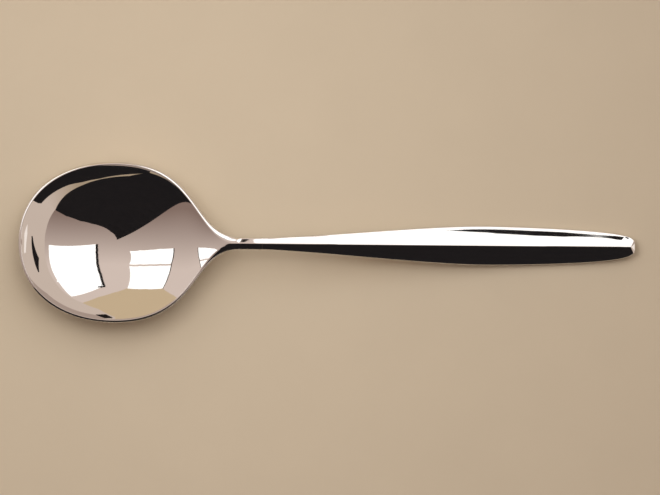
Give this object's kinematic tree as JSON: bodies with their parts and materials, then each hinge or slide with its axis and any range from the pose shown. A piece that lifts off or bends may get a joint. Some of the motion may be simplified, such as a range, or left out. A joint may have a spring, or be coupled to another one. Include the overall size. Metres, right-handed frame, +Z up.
{
  "type": "round soup spoon",
  "caption": "Mirror-polished round soup spoon with a smooth round bowl, a slim neck and a crested handle that sinks in an S to the table, brazed to the bowl at the neck.",
  "frame": {"origin": "on the table, in the middle of the small flat worn under the bowl, below its widest and deepest place", "axes": "+X along the spoon to the tip of the handle, +Y across it, +Z up, out of the open bowl"},
  "size_m": [0.165, 0.0428, 0.0103],
  "materials": {
    "polished_steel": "mirror polish with fine wiping scratches",
    "brazing_metal": "pale silver brazing metal, polished flush"
  },
  "bodies": {
    "root": {"bowl": "polished_steel", "handle": "polished_steel", "braze": "brazing_metal"}
  },
  "joints": []
}
